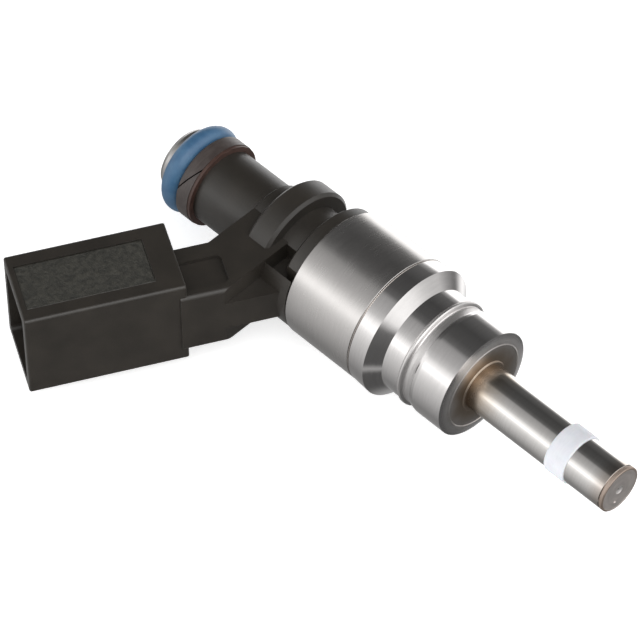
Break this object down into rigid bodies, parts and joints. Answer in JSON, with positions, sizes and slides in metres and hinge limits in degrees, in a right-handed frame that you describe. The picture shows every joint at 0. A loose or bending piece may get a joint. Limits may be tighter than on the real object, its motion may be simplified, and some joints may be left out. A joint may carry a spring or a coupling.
{
  "type": "fuel injector",
  "caption": "Direct-injection fuel injector: steel magnet housing and nozzle, moulded side connector, inlet seal, and a spring-closed needle that lifts off its seat.",
  "frame": {"origin": "on the injector axis, at the tip-side end of the locating land that centres the injector in the cylinder head", "axes": "+X along the injector axis towards the spray tip, connector on the -Y side in the XY plane, +Z square to the plane of symmetry"},
  "size_m": [0.0875, 0.0527, 0.0212],
  "materials": {
    "machined_steel": "turned stainless steel, satin",
    "brass_frame": "turned brass ring",
    "filter_mesh": "fine woven stainless mesh",
    "blue_rubber": "blue fluoroelastomer, slightly glossy",
    "taupe_polymer": "filled polymer, semi-gloss",
    "brown_polymer": "dark brown polymer washer",
    "black_plastic": "glass-filled nylon, satin, fine moulded grain",
    "tinned_terminal": "tin-plated copper alloy",
    "housing_steel": "stainless steel, fine circumferential brushing",
    "magnet_steel": "soft magnetic steel, ground",
    "bobbin_plastic": "moulded coil former",
    "copper_wire": "enamelled copper winding",
    "spring_steel": "drawn spring wire",
    "polished_steel": "turned and polished stainless steel",
    "nozzle_steel": "ground stainless steel with a straw heat tint near the root",
    "ptfe": "white PTFE, matte",
    "seat_steel": "hardened steel, fine ground face",
    "needle_steel": "hardened and lapped steel"
  },
  "bodies": {
    "injector_body": {"inlet_tube": "machined_steel", "inlet_filter_frame": "brass_frame", "inlet_filter_mesh": "filter_mesh", "fuel_o_ring": "blue_rubber", "backup_ring": "taupe_polymer", "support_washer": "brown_polymer", "overmold_body": "black_plastic", "terminal_a": "tinned_terminal", "terminal_b": "tinned_terminal", "coil_housing": "housing_steel", "cover_plate": "magnet_steel", "coil_bobbin": "bobbin_plastic", "coil_winding": "copper_wire", "yoke_ring": "magnet_steel", "magnetic_sleeve": "machined_steel", "pole_core": "magnet_steel", "adjusting_sleeve": "machined_steel", "return_spring": "spring_steel", "valve_body": "polished_steel", "nozzle_tube": "nozzle_steel", "combustion_seal": "ptfe", "valve_seat": "seat_steel", "needle_guide": "seat_steel"},
    "needle_assembly": {"armature": "magnet_steel", "needle": "needle_steel", "valve_ball": "needle_steel"}
  },
  "joints": [
    {"name": "needle_lift", "type": "slide", "parent": "injector_body", "child": "needle_assembly", "axis": [-1, 0, 0], "range_m": [0, 0.00008], "stiffness_N_per_m": 12000, "springref_m": -0.004, "deforming": ["return_spring"]}
  ]
}
